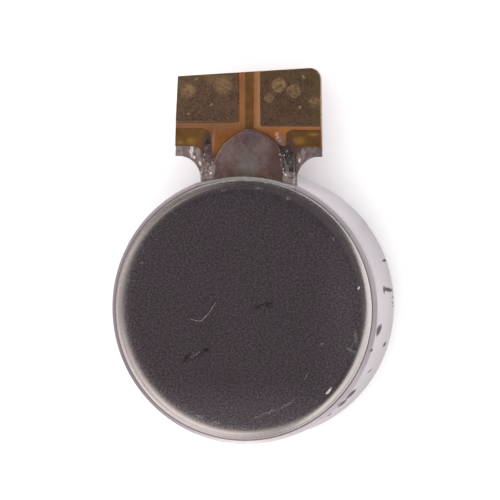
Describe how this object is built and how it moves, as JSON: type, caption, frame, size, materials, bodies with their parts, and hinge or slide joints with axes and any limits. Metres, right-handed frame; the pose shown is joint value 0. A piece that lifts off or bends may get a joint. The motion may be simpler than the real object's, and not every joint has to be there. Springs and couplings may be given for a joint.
{
  "type": "coin vibration motor",
  "caption": "Flat round vibration motor with a sealed drawn steel case, an off-centre rotor on a fixed shaft, and a flexible circuit tab with flat gold contact pads.",
  "frame": {"origin": "centre of the flat back of the case", "axes": "+Z along the coin's axis, out of the cover; +Y towards the contact tab; +X to the right when the cover is seen with the tab up"},
  "size_m": [0.008, 0.0111, 0.0034],
  "materials": {
    "case_steel": "satin drawn and plated steel",
    "cover_steel": "fine grained dark reflecting steel",
    "stiffener_steel": "bright rolled stainless sheet",
    "shaft_steel": "ground and polished",
    "magnet": "dull nickel plate on sintered magnet",
    "gold_plate": "matt gold plate with fine grain and round rub marks",
    "commutator_gold": "polished gold plate",
    "copper": "rolled copper foil under film",
    "winding": "enamelled copper wire",
    "spring_alloy": "bright rolled spring strip",
    "bearing_bronze": "porous sintered bronze",
    "solder": "bright solder",
    "tungsten": "sintered heavy alloy",
    "polyimide": "amber film with a soft gloss",
    "adhesive": "clear glossy adhesive",
    "resin": "moulded resin",
    "board": "solder mask on glass epoxy",
    "washer_polymer": "natural low-friction polymer"
  },
  "bodies": {
    "stator": {"case_can": "case_steel", "cover_plate": "cover_steel", "shaft": "shaft_steel", "lower_washer": "washer_polymer", "upper_washer": "washer_polymer", "ring_magnet": "magnet", "magnet_adhesive": "adhesive", "tab_stiffener": "stiffener_steel", "fpc_base_film": "polyimide", "trace_left": "copper", "trace_right": "copper", "trace_centre": "copper", "contact_pad_left": "gold_plate", "contact_pad_right": "gold_plate", "fpc_coverlay": "polyimide", "glue_bead_left": "adhesive", "glue_bead_right": "adhesive", "brush_left": "spring_alloy", "brush_right": "spring_alloy", "brush_solder_left": "solder", "brush_solder_right": "solder"},
    "rotor": {"bearing_bush": "bearing_bronze", "rotor_frame": "resin", "commutator_board": "board", "commutator_segment_1": "commutator_gold", "commutator_segment_2": "commutator_gold", "commutator_segment_3": "commutator_gold", "commutator_segment_4": "commutator_gold", "commutator_segment_5": "commutator_gold", "commutator_segment_6": "commutator_gold", "coil_left": "winding", "coil_right": "winding", "counterweight": "tungsten"}
  },
  "joints": [
    {"name": "rotor_spin", "type": "hinge", "parent": "stator", "child": "rotor", "pos_m": [0, 0, 0.0013], "axis": [0, 0, 1], "continuous": true}
  ]
}
